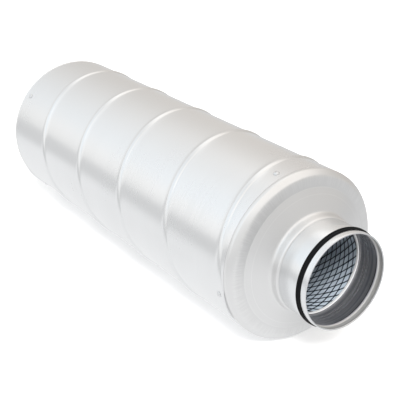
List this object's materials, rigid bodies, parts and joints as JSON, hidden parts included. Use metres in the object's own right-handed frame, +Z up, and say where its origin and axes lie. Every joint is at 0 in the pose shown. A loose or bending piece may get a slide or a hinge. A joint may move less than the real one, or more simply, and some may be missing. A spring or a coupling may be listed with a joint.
{
  "type": "duct sound attenuator",
  "caption": "Round duct silencer: spiral lock seam steel casing, drawn end caps with gasketed spigots, and an expanded metal inner tube backed by fleece and mineral wool.",
  "frame": {"origin": "on the duct axis, in the middle of the casing's length", "axes": "+X along the duct axis towards the end that the picture shows nearest, +Z up"},
  "size_m": [0.7696, 0.229, 0.229],
  "materials": {
    "casing": "satin zinc coating on spiral wound sheet",
    "cap": "satin zinc coating, drawn and spun sheet",
    "spigot": "smooth zinc coating",
    "gasket": "satin black rubber",
    "rivet": "plain blind rivet",
    "mesh": "zinc coated expanded metal",
    "ring": "bright folded strip",
    "fleece": "thin non-woven fleece",
    "wool": "mineral wool"
  },
  "bodies": {
    "root": {"casing": "casing", "cap_near": "cap", "cap_far": "cap", "spigot_near": "spigot", "spigot_far": "spigot", "gasket_near": "gasket", "gasket_far": "gasket", "rivets_near": "rivet", "rivets_far": "rivet", "mesh_tube": "mesh", "ring_near": "ring", "ring_far": "ring", "fleece": "fleece", "wool": "wool"}
  },
  "joints": []
}
